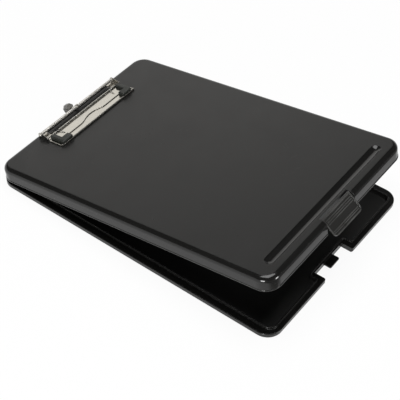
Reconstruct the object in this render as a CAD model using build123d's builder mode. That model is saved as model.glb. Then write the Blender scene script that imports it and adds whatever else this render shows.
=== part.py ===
from build123d import *
import os
from math import asin, atan2, cos, hypot, pi, radians, sin, sqrt

# Storage clipboard box: a shallow document tray under a hinged lid that is also the writing
# board, with a low paper clip at the hinge end and a swinging latch at the other end.
# Millimetres. +X runs across the short side, +Y towards the hinges and the clip, +Z up.
# The origin is the centre of the tray's underside.
# The lid and all it carries are drawn with the numbers of the closed box, on planes that are
# tipped about the hinges by lid_opening; the latch is drawn on planes tipped further.

os.makedirs("parts", exist_ok=True)

# ---------------------------------------------------------------- overall sizes
width = 234.0
length = 343.0
closed_height = 22.0
corner_radius = 16.0
lid_opening = 9.8  # degrees that the lid stands open
body_gap = 0.3  # least gap between pieces that move apart
running_fit = 0.05  # radial clearance of a pin in what turns on it
fixed_fit = 0.03  # radial clearance of a pin in what holds it

# ---------------------------------------------------------------- tray
wall = 1.8
floor = 1.8
ledge_height = 5.6  # top of the ledge that the lid's skirt stands over
lip_rise = 2.0  # lip above the ledge
lip_thickness = 1.6
side_ledge = 7.6
front_ledge = 5.0
rear_ledge = 6.0
tray_edge_bevel = 1.2
ledge_edge_bevel = 0.5
lip_edge_bevel = 0.35
floor_corner_bevel = 1.0
notch_margin = 0.3  # the notch in the tray's front is this much wider than the lid's latch bay
notch_depth = 13.0
notch_corner_radius = 2.0
recess_margin = 6.2  # the lip steps back round the notch, this much outside the bay
recess_step = 1.2
recess_corner_radius = 3.0
tongue_half = 8.0  # catch tongue that the latch hooks under
tongue_setback = 4.8
tongue_bottom = 2.0
tongue_thickness = 1.7
tongue_corner_radius = 1.5
gusset_thickness = 1.4
gusset_spacing = 9.0
gusset_foot = 0.8
gusset_reach = 3.6
gusset_bottom = 0.6
blend = 0.2  # how far a joined feature runs into its neighbour

# ---------------------------------------------------------------- hinges
hinge_spacing = 156.0
hinge_inset = 1.5
barrel_radius = 2.3
hinge_clearance = 0.4  # between the lid's knuckles and the ledge
hinge_pin_radius = 1.0
lid_knuckle = 10.0
tray_knuckle = 9.0
knuckle_gap = 0.35
knuckle_relief = 0.45  # radial room round the tray's knuckles in the lid
pedestal_front = 1.8

# ---------------------------------------------------------------- lid
skirt_gap = 0.8  # skirt bottom above the ledge
skirt_inset = 0.5
skirt_thickness = 2.0
panel = 2.0
lid_edge_radius = 5.5
bead_height = 1.6
bead_bevel = 0.4
groove_length = 194.4
groove_width = 11.4
groove_depth = 2.2
groove_from_front = 17.5
rear_relief = 0.9  # the rear skirt ends this much higher, so that it can swing
relief_overrun = 5.5  # the raised part runs this far into the rounded corners

# ---------------------------------------------------------------- latch
bay_half = 24.1
bay_depth = 9.9
latch_inset = 6.9
latch_drop = 1.6
latch_barrel_radius = 1.6
latch_pin_radius = 0.8
latch_pin_seat = 1.6  # length held in each cheek
latch_tilt = 45.8  # degrees below the lid as it hangs in the photograph
latch_closed_tilt = 74.0
tab_side_gap = 0.6
tab_inner = 0.6
tab_outer = 1.0
tab_corner_radius = 5.0
tab_inner_bevel = 0.4
rim_width = 1.4
rim_height = 0.5
ridge_width = 0.9
ridge_height = 0.45
ridge_end_gap = 1.2
upper_ridges = (3.4, 5.6, 7.8)
lower_ridges = (3.8, 2.0)  # ahead of the rim
hook_depth = 3.6
hook_half = 7.0
hook_thickness = 1.4
hook_clearance = 0.3
tab_chin = 0.8  # tab beyond the hook

# ---------------------------------------------------------------- clip
sheet = 0.8
clip_half = 58.6
clip_front = 39.5  # front edge, from the lid's rear; the insets below count from there too
clip_bead_radius = 1.1
clip_bead_bore = 0.4
side_lip_height = 1.4
side_lip_length = 16.0
side_lip_setback = 1.5
well_margin = 10.0  # plate beside the window that shows the lid behind the jaw
well_front = 1.0  # window's front edge, ahead of the jaw pin
well_rear = 1.0  # plate left behind the window
rivet_spacing = 36.0
rivet_ahead = 6.0  # rivets ahead of the jaw pin, under the jaw
rivet_radius = 1.5
rivet_cone = 0.6  # height and flare of the flush head
rivet_end_height = 1.0
washer_radius = 3.6
washer_thickness = 0.8
rod_radius = 1.8
rod_inset = 8.3
rod_end_bevel = 0.4
ear_margin = 0.8  # ear round the jaw pin and the rod
ear_toe = 1.5
jaw_sheet = 0.6
jaw_pin_radius = 0.6
jaw_pin_inset = 18.6
jaw_pin_head = 0.65  # wider than the pin
jaw_pin_head_height = 0.6
jaw_margin = 6.8  # between the jaw's side and the plate's side
jaw_edge = 13.0  # straight front edge of the jaw, ahead of the pin
jaw_notch = 4.4  # depth of the finger notch in that edge
jaw_notch_half = 20.0
jaw_corner = 6.3  # corners ahead of the straight edge, inside the rubber
jaw_corner_width = 9.3
cap_overhang = 3.8  # rubber outside the jaw's sides
cap_inner_width = 10.8
cap_arm = 5.8
cap_front = 2.4  # rubber ahead of the jaw's corners
cap_depth = 8.2
cap_length = 20.1
cap_top = 3.4  # rubber over the jaw's sheet
cap_bevel = 1.3
cap_corner_radius = 2.6
wire_radius = 0.35
wire_sides = 6
coil_turns = 3
coil_pitch = 1.15
coil_margin = 10.2  # start of the coil inside the jaw's side
spring_front_reach = 8.5
spring_rear_reach = 8.0

# ---------------------------------------------------------------- hanger
eye_wall = 0.8
eye_fit = 0.1
eye_width = 2.4
stem_radius = 1.1
stem_clearance = 0.65  # over the lid's rear edge
hanger_length = 16.4
knob_radius = 5.6
knob_height = 6.5
knob_lobes = 8
knob_scallop = 1.3
knob_bevel = 0.8
stem_grip = 1.5  # stem inside the knob

# ---------------------------------------------------------------- derived places
front_y = -length / 2
rear_y = length / 2
lid_top = closed_height
lip_height = ledge_height + lip_rise
notch_half = bay_half + notch_margin
recess_half = bay_half + recess_margin
recess_depth = notch_depth + recess_step
skirt_bottom = ledge_height + skirt_gap
hinge_rise = barrel_radius + hinge_clearance
hinge_y = rear_y - hinge_inset
hinge_z = ledge_height + hinge_rise
hinge_width = lid_knuckle + 2 * (tray_knuckle + knuckle_gap)
hinge_centres = (-hinge_spacing / 2, hinge_spacing / 2)
latch_y = front_y + latch_inset
latch_z = lid_top - latch_drop
tab_half = bay_half - tab_side_gap
groove_y = front_y + groove_from_front
groove_radius = ((groove_width / 2) ** 2 + groove_depth**2) / (2 * groove_depth)
groove_axis_z = lid_top - groove_depth + groove_radius
edge_centre_y = rear_y - skirt_inset - lid_edge_radius
edge_centre_z = lid_top - lid_edge_radius
clip_front_y = rear_y - clip_front
clip_rear_y = edge_centre_y  # the plate ends where the lid starts to round off
plate_top_z = lid_top + sheet
jaw_barrel_radius = jaw_pin_radius + running_fit + jaw_sheet
jaw_bottom_z = plate_top_z + body_gap
jaw_top_z = jaw_bottom_z + jaw_sheet
jaw_pin_y = rear_y - jaw_pin_inset
jaw_pin_z = jaw_bottom_z + jaw_barrel_radius
jaw_half = clip_half - jaw_margin
well_half = clip_half - well_margin
rivet_y = jaw_pin_y - rivet_ahead
rivet_xs = (-rivet_spacing, 0.0, rivet_spacing)
rivet_head_radius = rivet_radius + rivet_cone
eye_radius = rod_radius + eye_fit + eye_wall
rod_y = rear_y - rod_inset
rod_z = plate_top_z + body_gap + eye_radius
sides = ((-1, "left"), (1, "right"))

lid_pose = Location((0, hinge_y, hinge_z), (-lid_opening, 0, 0)) * Location((0, -hinge_y, -hinge_z))
latch_pose = lid_pose * Location((0, latch_y, latch_z), (latch_tilt, 0, 0))


def on_lid(plane):
    """The plane, given on the closed box, where the open lid carries it."""
    return Plane(lid_pose * plane.location)


def on_latch(plane):
    """The plane, given about the latch's axis, where the hanging latch carries it."""
    return Plane(latch_pose * plane.location)


def lid_line(y, z):
    """The line across the box through the closed lid's point (y, z)."""
    return Axis(on_lid(Plane.YZ).from_local_coords((y, z, 0)), (1, 0, 0))


lid_up = Axis((0, 0, 0), on_lid(Plane.XY).z_dir)
latch_outward = Axis((0, 0, 0), on_latch(Plane.XY).z_dir)

# ================================================================ tray
# Outline of the raised lip: it steps back round the latch notch.
with BuildSketch() as lip_outline:
    with Locations((0, (front_ledge - rear_ledge) / 2)):
        RectangleRounded(
            width - 2 * side_ledge, length - front_ledge - rear_ledge, corner_radius - side_ledge
        )
    with Locations((0, front_y)):
        Rectangle(2 * recess_half, 2 * recess_depth, mode=Mode.SUBTRACT)
    step_corners = lip_outline.vertices().filter_by(lambda v: abs(v.X) < recess_half + 1 and v.Y < 0)
    fillet(step_corners, recess_corner_radius)

with BuildPart() as base_tray:
    with BuildSketch():
        RectangleRounded(width, length, corner_radius)
    extrude(amount=ledge_height)
    chamfer(base_tray.edges().group_by(Axis.Z)[0], tray_edge_bevel)
    chamfer(base_tray.edges().group_by(Axis.Z)[-1], ledge_edge_bevel)
    with BuildSketch(Plane.XY.offset(ledge_height)):
        add(lip_outline.sketch)
    extrude(amount=lip_height - ledge_height)
    # document space
    with BuildSketch(Plane.XY.offset(floor)):
        add(lip_outline.sketch)
        offset(amount=-lip_thickness, mode=Mode.REPLACE)
    extrude(amount=lip_height - floor, mode=Mode.SUBTRACT)
    chamfer(base_tray.edges().group_by(Axis.Z)[-1], lip_edge_bevel)
    floor_face = base_tray.faces().filter_by(Axis.Z).filter_by(lambda f: abs(f.center().Z - floor) < 0.01)
    chamfer(floor_face.edges(), floor_corner_bevel)
    # the ledge is hollow underneath, between the outer wall and the lip
    with BuildSketch():
        RectangleRounded(width - 2 * wall, length - 2 * wall, corner_radius - wall)
        with Locations((0, front_y)):
            Rectangle(2 * (notch_half + wall), 2 * (notch_depth + wall), mode=Mode.SUBTRACT)
        add(lip_outline.sketch, mode=Mode.SUBTRACT)
    extrude(amount=ledge_height - wall, mode=Mode.SUBTRACT)
    # latch notch, right through, with rounded outer corners
    with BuildSketch() as notch:
        with Locations((0, front_y)):
            Rectangle(2 * notch_half, 2 * notch_depth)
            Rectangle(3 * notch_half, notch_depth, align=(Align.CENTER, Align.MAX))
        fillet(notch.vertices().filter_by(lambda v: abs(v.Y - front_y) < 0.01), notch_corner_radius)
    extrude(amount=lip_height, mode=Mode.SUBTRACT)
    # catch tongue on two gussets
    with BuildSketch(Plane.XY.offset(tongue_bottom)) as tongue:
        with Locations((0, front_y + tongue_setback)):
            Rectangle(2 * tongue_half, notch_depth - tongue_setback + wall, align=(Align.CENTER, Align.MIN))
        fillet(tongue.vertices().group_by(Axis.Y)[0], tongue_corner_radius)
    extrude(amount=tongue_thickness)
    for gusset_x in (-gusset_spacing / 2, gusset_spacing / 2):
        with BuildSketch(Plane.YZ.offset(gusset_x - gusset_thickness / 2)):
            with BuildLine():
                Polyline(
                    (front_y + notch_depth + wall / 2, gusset_bottom),
                    (front_y + notch_depth - gusset_foot, gusset_bottom),
                    (front_y + notch_depth - gusset_reach, tongue_bottom + blend),
                    (front_y + notch_depth + wall / 2, tongue_bottom + blend),
                    close=True,
                )
            make_face()
        extrude(amount=gusset_thickness)
    # hinge knuckles on the rear ledge
    for hinge_x in hinge_centres:
        for knuckle_x in (hinge_x - hinge_width / 2, hinge_x + hinge_width / 2 - tray_knuckle):
            with BuildSketch(Plane.YZ.offset(knuckle_x)):
                with Locations((hinge_y, hinge_z)):
                    Circle(barrel_radius)
                with Locations((rear_y, ledge_height - wall / 2)):
                    Rectangle(
                        hinge_inset + pedestal_front,
                        hinge_rise + wall / 2,
                        align=(Align.MAX, Align.MIN),
                    )
            extrude(amount=tray_knuckle)
    with Locations(*[(hinge_x, hinge_y, hinge_z) for hinge_x in hinge_centres]):
        Cylinder(
            hinge_pin_radius + running_fit, hinge_width + 1, rotation=(0, 90, 0), mode=Mode.SUBTRACT
        )
base_tray.part.label = "base_tray"
export_step(base_tray.part, "parts/base_tray.step")

for hinge_x, (side, side_name) in zip(hinge_centres, sides):
    with BuildPart() as hinge_pin:
        with Locations((hinge_x, hinge_y, hinge_z)):
            Cylinder(hinge_pin_radius, hinge_width, rotation=(0, 90, 0))
    hinge_pin.part.label = f"hinge_pin_{side_name}"
    export_step(hinge_pin.part, f"parts/hinge_pin_{side_name}.step")


# ================================================================ lid
def groove_rod(radius):
    """A round-ended rod along the pen groove; the groove is the underside of the thinner one."""
    with BuildPart() as rod:
        with BuildSketch(on_lid(Plane.XZ.offset(-groove_y))):
            with Locations((0, groove_axis_z)):
                SlotCenterToCenter(groove_length - groove_width, 2 * radius)
                Rectangle(
                    groove_length + 2 * radius, radius, align=(Align.CENTER, Align.MIN), mode=Mode.SUBTRACT
                )
        revolve(axis=lid_line(groove_y, groove_axis_z))
    return rod.part


groove_space = groove_rod(groove_radius)
groove_trough = groove_rod(groove_radius + panel)

# Space under the lid: it leaves room for the groove's trough and for the walls of the latch bay.
with BuildPart() as lid_core:
    with BuildSketch(on_lid(Plane.XY.offset(skirt_bottom - 1))):
        RectangleRounded(
            width - 2 * (skirt_inset + skirt_thickness),
            length - 2 * (skirt_inset + skirt_thickness),
            corner_radius - skirt_inset - skirt_thickness,
        )
    extrude(amount=lid_top - panel - skirt_bottom + 1)
    # the slant touches the round that lies one skirt thickness inside the lid's rounded edge
    chamfer(lid_core.edges().group_by(lid_up)[-1], (lid_edge_radius - skirt_thickness) * (2 - sqrt(2)))
    add(groove_trough, mode=Mode.SUBTRACT)
    with BuildSketch(on_lid(Plane.XY.offset(skirt_bottom - 1))) as bay_block:
        with Locations((0, front_y)):
            Rectangle(2 * (bay_half + skirt_thickness), 2 * (bay_depth + wall))
    extrude(amount=lid_top, mode=Mode.SUBTRACT)

with BuildPart() as lid_shell:
    with BuildSketch(on_lid(Plane.XY.offset(skirt_bottom))):
        RectangleRounded(width, length, corner_radius)
    extrude(amount=bead_height)
    chamfer(lid_shell.edges().group_by(lid_up)[0], bead_bevel)
    chamfer(lid_shell.edges().group_by(lid_up)[-1], bead_bevel)
    with BuildSketch(on_lid(Plane.XY.offset(skirt_bottom))):
        RectangleRounded(width - 2 * skirt_inset, length - 2 * skirt_inset, corner_radius - skirt_inset)
    extrude(amount=lid_top - skirt_bottom)
    fillet(lid_shell.edges().group_by(lid_up)[-1], lid_edge_radius)
    add(lid_core.part, mode=Mode.SUBTRACT)
    add(groove_space, mode=Mode.SUBTRACT)
    # latch bay, open to the top, the front and below
    with BuildSketch(on_lid(Plane.XY.offset(skirt_bottom - 1))):
        with Locations((0, front_y)):
            Rectangle(2 * bay_half, 2 * bay_depth)
    extrude(amount=closed_height, mode=Mode.SUBTRACT)
    # rear skirt is raised between the corners, and cut away round the tray's knuckles
    with BuildSketch(on_lid(Plane.XY.offset(skirt_bottom - 1))):
        with Locations((0, rear_y)):
            Rectangle(width - 2 * (corner_radius - relief_overrun), 2 * (skirt_inset + skirt_thickness + 1))
    extrude(amount=rear_relief + 1, mode=Mode.SUBTRACT)
    with BuildSketch(on_lid(Plane.XY.offset(skirt_bottom - 1))):
        for hinge_x in hinge_centres:
            with Locations((hinge_x, rear_y)):
                Rectangle(hinge_width + 2 * knuckle_gap, 2 * (skirt_inset + skirt_thickness + 1))
                Rectangle(lid_knuckle, 4 * (skirt_inset + skirt_thickness + 1), mode=Mode.SUBTRACT)
    extrude(
        amount=hinge_z + barrel_radius + knuckle_relief - skirt_bottom + 1,
        mode=Mode.SUBTRACT,
    )
    for hinge_x in hinge_centres:
        with BuildSketch(on_lid(Plane.YZ.offset(hinge_x - lid_knuckle / 2))):
            with Locations((hinge_y, hinge_z)):
                Circle(barrel_radius)
        extrude(amount=lid_knuckle)
        with BuildSketch(on_lid(Plane.YZ.offset(hinge_x - lid_knuckle / 2 - 1))):
            with Locations((hinge_y, hinge_z)):
                Circle(hinge_pin_radius + running_fit)
        extrude(amount=lid_knuckle + 2, mode=Mode.SUBTRACT)
    # blind seats of the latch pin in the bay's cheeks
    with BuildSketch(on_lid(Plane.YZ.offset(-bay_half - latch_pin_seat))):
        with Locations((latch_y, latch_z)):
            Circle(latch_pin_radius + fixed_fit)
    extrude(amount=2 * (bay_half + latch_pin_seat), mode=Mode.SUBTRACT)
    # rivet holes
    with BuildSketch(on_lid(Plane.XY.offset(lid_top - 2 * panel))):
        with Locations(*[(rivet_x, rivet_y) for rivet_x in rivet_xs]):
            Circle(rivet_radius + fixed_fit)
    extrude(amount=3 * panel, mode=Mode.SUBTRACT)
lid_shell.part.label = "lid_shell"
export_step(lid_shell.part, "parts/lid_shell.step")

# ================================================================ latch
# In the tab's own frame the axis is the origin and the plate runs towards -Y, outer face up.
closed_dir_y = cos(radians(latch_closed_tilt))
closed_dir_z = sin(radians(latch_closed_tilt))
tongue_tip_drop = latch_z - (tongue_bottom - hook_clearance)
tongue_tip_ahead = latch_y - (front_y + tongue_setback)
hook_start = tongue_tip_ahead * closed_dir_y + tongue_tip_drop * closed_dir_z
tab_length = hook_start + hook_thickness + tab_chin
ridge_half = tab_half - rim_width - ridge_end_gap
ridge_places = upper_ridges + tuple(tab_length - rim_width - ahead for ahead in lower_ridges)

with BuildPart() as latch_tab:
    with BuildSketch(on_latch(Plane.XY.offset(-tab_inner))) as tab_outline:
        with Locations((0, -tab_length / 2)):
            Rectangle(2 * tab_half, tab_length)
        fillet(tab_outline.vertices().group_by(Axis.Y)[0], tab_corner_radius)
    extrude(amount=tab_inner + tab_outer)
    chamfer(latch_tab.edges().group_by(latch_outward)[0].filter_by(GeomType.CIRCLE), tab_inner_bevel)
    with BuildSketch(on_latch(Plane.XY.offset(tab_outer))):
        add(tab_outline.sketch_local)
        with BuildSketch(mode=Mode.SUBTRACT):
            with Locations((0, -(tab_length - rim_width) / 2)):
                Rectangle(2 * (tab_half - rim_width), tab_length - rim_width)
    extrude(amount=rim_height)
    for ridge_u in ridge_places:
        with BuildSketch(on_latch(Plane.XY.offset(tab_outer))):
            with Locations((0, -ridge_u)):
                SlotOverall(2 * ridge_half, ridge_width)
        extrude(amount=ridge_height)
    # barrel round the pin
    with BuildSketch(on_latch(Plane.YZ.offset(-tab_half))):
        Circle(latch_barrel_radius)
    extrude(amount=2 * tab_half)
    # hook on the inner face
    with BuildSketch(on_latch(Plane.YZ.offset(-hook_half))):
        with BuildLine():
            Polyline(
                (-hook_start, 0),
                (-hook_start, -tab_inner - hook_depth),
                (-hook_start - hook_thickness * 0.7, -tab_inner - hook_depth),
                (-hook_start - hook_thickness, -tab_inner - hook_depth * 0.6),
                (-tab_length, -tab_inner),
                (-tab_length, 0),
                close=True,
            )
        make_face()
    extrude(amount=2 * hook_half)
    with BuildSketch(on_latch(Plane.YZ.offset(-tab_half - 1))):
        Circle(latch_pin_radius + running_fit)
    extrude(amount=2 * tab_half + 2, mode=Mode.SUBTRACT)
latch_tab.part.label = "latch_tab"
export_step(latch_tab.part, "parts/latch_tab.step")

with BuildPart() as latch_pin:
    with BuildSketch(on_latch(Plane.YZ.offset(-bay_half - latch_pin_seat))):
        Circle(latch_pin_radius)
    extrude(amount=2 * (bay_half + latch_pin_seat))
latch_pin.part.label = "latch_pin"
export_step(latch_pin.part, "parts/latch_pin.step")

# ================================================================ clip
with BuildPart() as clip_base_plate:
    with BuildSketch(on_lid(Plane.YZ.offset(-clip_half))):
        with Locations((clip_front_y, lid_top)):
            Rectangle(clip_rear_y - clip_front_y, sheet, align=(Align.MIN, Align.MIN))
        with Locations((clip_front_y, lid_top + clip_bead_radius)):
            Circle(clip_bead_radius)
            Circle(clip_bead_bore, mode=Mode.SUBTRACT)
    extrude(amount=2 * clip_half)
    # window behind the jaw, that shows the lid
    with BuildSketch(on_lid(Plane.XY.offset(lid_top - 1))) as window:
        with Locations((0, (jaw_pin_y - well_front + clip_rear_y - well_rear) / 2)):
            RectangleRounded(2 * well_half, clip_rear_y - well_rear - jaw_pin_y + well_front, 1.0)
    extrude(amount=1 + sheet, mode=Mode.SUBTRACT)
    for ear_x in (-clip_half, clip_half - sheet):
        # low side lip beside the jaw
        with BuildSketch(on_lid(Plane.YZ.offset(ear_x))) as side_lip:
            with Locations((clip_front_y + side_lip_setback, lid_top)):
                Rectangle(side_lip_length, side_lip_height, align=(Align.MIN, Align.MIN))
            fillet(side_lip.vertices().group_by(Axis.Y)[-1], 0.5)
        extrude(amount=sheet)
        # ear round the jaw pin and the rear rod
        with BuildSketch(on_lid(Plane.YZ.offset(ear_x))):
            with Locations((jaw_pin_y, jaw_pin_z)):
                Circle(jaw_pin_radius + ear_margin)
            with Locations((rod_y, rod_z)):
                Circle(rod_radius + ear_margin)
            with Locations((jaw_pin_y - jaw_pin_radius - ear_margin - ear_toe, lid_top)):
                Rectangle(
                    clip_rear_y - jaw_pin_y + jaw_pin_radius + ear_margin + ear_toe,
                    sheet,
                    align=(Align.MIN, Align.MIN),
                )
            make_hull()
        extrude(amount=sheet)
    with BuildSketch(on_lid(Plane.YZ.offset(-clip_half - 1))):
        with Locations((jaw_pin_y, jaw_pin_z)):
            Circle(jaw_pin_radius + fixed_fit)
        with Locations((rod_y, rod_z)):
            Circle(rod_radius + fixed_fit)
    extrude(amount=2 * clip_half + 2, mode=Mode.SUBTRACT)
    # countersunk rivet holes
    for rivet_x in rivet_xs:
        with BuildSketch(on_lid(Plane.XZ.offset(-rivet_y))):
            with BuildLine():
                Polyline(
                    (rivet_x, plate_top_z),
                    (rivet_x + rivet_head_radius + fixed_fit, plate_top_z),
                    (rivet_x + rivet_radius + fixed_fit, plate_top_z - rivet_cone),
                    (rivet_x + rivet_radius + fixed_fit, lid_top),
                    (rivet_x, lid_top),
                    close=True,
                )
            make_face()
        hole_foot = on_lid(Plane.XY).from_local_coords((rivet_x, rivet_y, 0))
        revolve(axis=Axis(hole_foot, lid_up.direction), mode=Mode.SUBTRACT)
clip_base_plate.part.label = "clip_base_plate"
export_step(clip_base_plate.part, "parts/clip_base_plate.step")

# Rivets: a flush head in the plate, a shank through plate, lid and washer, and a formed end.
grip_bottom = lid_top - panel - washer_thickness
for rivet_x, place in zip(rivet_xs, ("left", "middle", "right")):
    rivet_axis = Axis(on_lid(Plane.XY).from_local_coords((rivet_x, rivet_y, 0)), lid_up.direction)
    with BuildPart() as clip_rivet:
        with BuildSketch(on_lid(Plane.XZ.offset(-rivet_y))) as rivet_profile:
            with BuildLine():
                Polyline(
                    (rivet_x, plate_top_z),
                    (rivet_x + rivet_head_radius, plate_top_z),
                    (rivet_x + rivet_radius, plate_top_z - rivet_cone),
                    (rivet_x + rivet_radius, grip_bottom),
                    (rivet_x + rivet_head_radius, grip_bottom),
                    (rivet_x + rivet_radius, grip_bottom - rivet_end_height),
                    (rivet_x, grip_bottom - rivet_end_height),
                    close=True,
                )
            make_face()
        revolve(axis=rivet_axis)
    clip_rivet.part.label = f"clip_rivet_{place}"
    export_step(clip_rivet.part, f"parts/clip_rivet_{place}.step")

    with BuildPart() as washer:
        with BuildSketch(on_lid(Plane.XY.offset(grip_bottom))):
            with Locations((rivet_x, rivet_y)):
                Circle(washer_radius)
                Circle(rivet_radius + fixed_fit, mode=Mode.SUBTRACT)
        extrude(amount=washer_thickness)
    washer.part.label = f"clip_rivet_washer_{place}"
    export_step(washer.part, f"parts/clip_rivet_washer_{place}.step")

with BuildPart() as clip_rear_rod:
    with BuildSketch(on_lid(Plane.YZ.offset(-clip_half - sheet))):
        with Locations((rod_y, rod_z)):
            Circle(rod_radius)
    extrude(amount=2 * (clip_half + sheet))
    chamfer(clip_rear_rod.edges(), rod_end_bevel)
clip_rear_rod.part.label = "clip_rear_rod"
export_step(clip_rear_rod.part, "parts/clip_rear_rod.step")

with BuildPart() as clip_jaw_pin:
    with BuildSketch(on_lid(Plane.YZ.offset(-clip_half))):
        with Locations((jaw_pin_y, jaw_pin_z)):
            Circle(jaw_pin_radius)
    extrude(amount=2 * clip_half)
    for head_x in (-clip_half - jaw_pin_head_height, clip_half):
        with BuildSketch(on_lid(Plane.YZ.offset(head_x))):
            with Locations((jaw_pin_y, jaw_pin_z)):
                Circle(jaw_pin_radius + jaw_pin_head)
        extrude(amount=jaw_pin_head_height)
clip_jaw_pin.part.label = "clip_jaw_pin"
export_step(clip_jaw_pin.part, "parts/clip_jaw_pin.step")

# Torsion springs round the jaw pin: how far the coil turns and how wide it is.
coil_radius = jaw_pin_radius + running_fit + wire_radius
climb = coil_pitch / (2 * pi)  # advance along the pin for each radian of turn
coil_inner_half = jaw_half - coil_margin


def leg_start(reach, drop):
    """Angle on the coil, from its top, where a straight leg to that reach and drop leaves it."""
    return atan2(drop, reach) + asin(coil_radius / hypot(reach, drop))


def leg_length(reach, drop):
    """Length of that leg, with the coil's slant."""
    return sqrt(reach**2 + drop**2 - coil_radius**2) * hypot(1, climb / coil_radius)


front_drop = jaw_pin_z - (jaw_top_z + wire_radius + fixed_fit)
rear_drop = jaw_pin_z - (lid_top + wire_radius + fixed_fit)
front_angle = leg_start(spring_front_reach, front_drop)
rear_angle = leg_start(spring_rear_reach, rear_drop)
half_count = 2 * coil_turns + 1
half_turn = (2 * pi * coil_turns + front_angle + rear_angle) / half_count
coil_outer_half = coil_inner_half + climb * half_turn * half_count

# Jaw: a flat sheet whose rear edge is rolled round the pin, open where the springs sit. Its front
# edge has a shallow finger notch, and its two corners reach forward into the rubber caps.
jaw_edge_y = jaw_pin_y - jaw_edge
jaw_front_y = jaw_edge_y - jaw_corner
jaw_corner_half = jaw_half - jaw_corner_width
spring_slot_inner = coil_inner_half - wire_radius - body_gap
spring_slot_outer = coil_outer_half + wire_radius + body_gap
spring_slot_y = jaw_pin_y - coil_radius - wire_radius - body_gap
with BuildPart() as clip_jaw:
    with BuildSketch(on_lid(Plane.YZ.offset(-jaw_half))):
        with Locations((jaw_front_y, jaw_bottom_z)):
            Rectangle(jaw_pin_y - jaw_front_y, jaw_sheet, align=(Align.MIN, Align.MIN))
        with Locations((jaw_pin_y, jaw_pin_z)):
            Circle(jaw_barrel_radius)
    extrude(amount=2 * jaw_half)
    with BuildSketch(on_lid(Plane.YZ.offset(-jaw_half - 1))):
        with Locations((jaw_pin_y, jaw_pin_z)):
            Circle(jaw_pin_radius + running_fit)
    extrude(amount=2 * jaw_half + 2, mode=Mode.SUBTRACT)
    # front edge between the corners, with the finger notch
    with BuildSketch(on_lid(Plane.XY.offset(jaw_bottom_z - body_gap / 2))):
        with BuildLine():
            far_y = jaw_front_y - 1
            notch_y = jaw_edge_y + jaw_notch
            Polyline(
                (-jaw_notch_half, jaw_edge_y),
                (-jaw_corner_half, jaw_edge_y),
                (-jaw_corner_half, far_y),
                (jaw_corner_half, far_y),
                (jaw_corner_half, jaw_edge_y),
                (jaw_notch_half, jaw_edge_y),
            )
            shoulder = 0.65 * jaw_notch_half
            hip = 0.45 * jaw_notch_half
            Bezier((-jaw_notch_half, jaw_edge_y), (-shoulder, jaw_edge_y), (-hip, notch_y), (0, notch_y))
            Bezier((0, notch_y), (hip, notch_y), (shoulder, jaw_edge_y), (jaw_notch_half, jaw_edge_y))
        make_face()
    extrude(amount=jaw_sheet + body_gap, mode=Mode.SUBTRACT)
    # slots round the springs
    with BuildSketch(on_lid(Plane.XY.offset(jaw_bottom_z - body_gap / 2))):
        for side, side_name in sides:
            with Locations((side * (spring_slot_inner + spring_slot_outer) / 2, spring_slot_y)):
                Rectangle(
                    spring_slot_outer - spring_slot_inner,
                    3 * jaw_barrel_radius + coil_radius,
                    align=(Align.CENTER, Align.MIN),
                )
    extrude(amount=2 * jaw_barrel_radius + body_gap, mode=Mode.SUBTRACT)
clip_jaw.part.label = "clip_jaw"
export_step(clip_jaw.part, "parts/clip_jaw.step")

# Rubber caps: an L round each front corner of the jaw, moulded onto its sheet.
cap_front_y = jaw_front_y - cap_front
cap_inner_half = jaw_half - cap_inner_width
cap_outer_half = jaw_half + cap_overhang
for side, side_name in sides:
    with BuildPart() as grip_corner:
        with BuildSketch(on_lid(Plane.XY.offset(jaw_bottom_z))) as cap_outline:
            with Locations((side * (cap_inner_half + cap_outer_half) / 2, cap_front_y)):
                Rectangle(cap_outer_half - cap_inner_half, cap_depth, align=(Align.CENTER, Align.MIN))
            with Locations((side * (cap_outer_half - cap_arm / 2), cap_front_y)):
                Rectangle(cap_arm, cap_length, align=(Align.CENTER, Align.MIN))
            outer_corners = cap_outline.vertices().filter_by(lambda v: abs(v.X) > cap_outer_half - 0.1)
            fillet(outer_corners, cap_corner_radius)
        extrude(amount=jaw_sheet + cap_top)
        chamfer(grip_corner.edges().group_by(lid_up)[-1], cap_bevel)
        # clear of the rolled front edge of the plate below
        with BuildSketch(on_lid(Plane.YZ.offset(-cap_outer_half - 1))):
            with Locations((clip_front_y, lid_top + clip_bead_radius)):
                Circle(clip_bead_radius + body_gap)
        extrude(amount=2 * cap_outer_half + 2, mode=Mode.SUBTRACT)
        add(clip_jaw.part, mode=Mode.SUBTRACT)
    grip_corner.part.label = f"grip_corner_{side_name}"
    export_step(grip_corner.part, f"parts/grip_corner_{side_name}.step")


# Springs: each half turn is a pair of tangent arcs, and both legs run on along the wire's own
# direction at the coil's ends. The front leg presses on the jaw, the rear one on the lid.
def coil_point(angle, side):
    """Point and unit direction of the wire, angle measured over the top from the front leg."""
    turn = angle - front_angle
    place = Vector(
        side * (coil_inner_half + climb * angle),
        jaw_pin_y + coil_radius * sin(turn),
        jaw_pin_z + coil_radius * cos(turn),
    )
    heading = Vector(side * climb, coil_radius * cos(turn), -coil_radius * sin(turn)).normalized()
    lid_frame = on_lid(Plane.XY)
    return lid_frame.from_local_coords(place), lid_frame.from_local_coords(heading) - lid_frame.origin


def arc_pair(start, start_heading, end, end_heading):
    """Meeting point and direction there of two tangent arcs from start to end."""
    gap = end - start
    both = start_heading + end_heading
    spread = 2 * (1 - start_heading.dot(end_heading))
    reach = (sqrt(gap.dot(both) ** 2 + spread * gap.dot(gap)) - gap.dot(both)) / spread
    first = start + start_heading * reach
    second = end - end_heading * reach
    return (first + second) / 2, (second - first).normalized()


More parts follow.
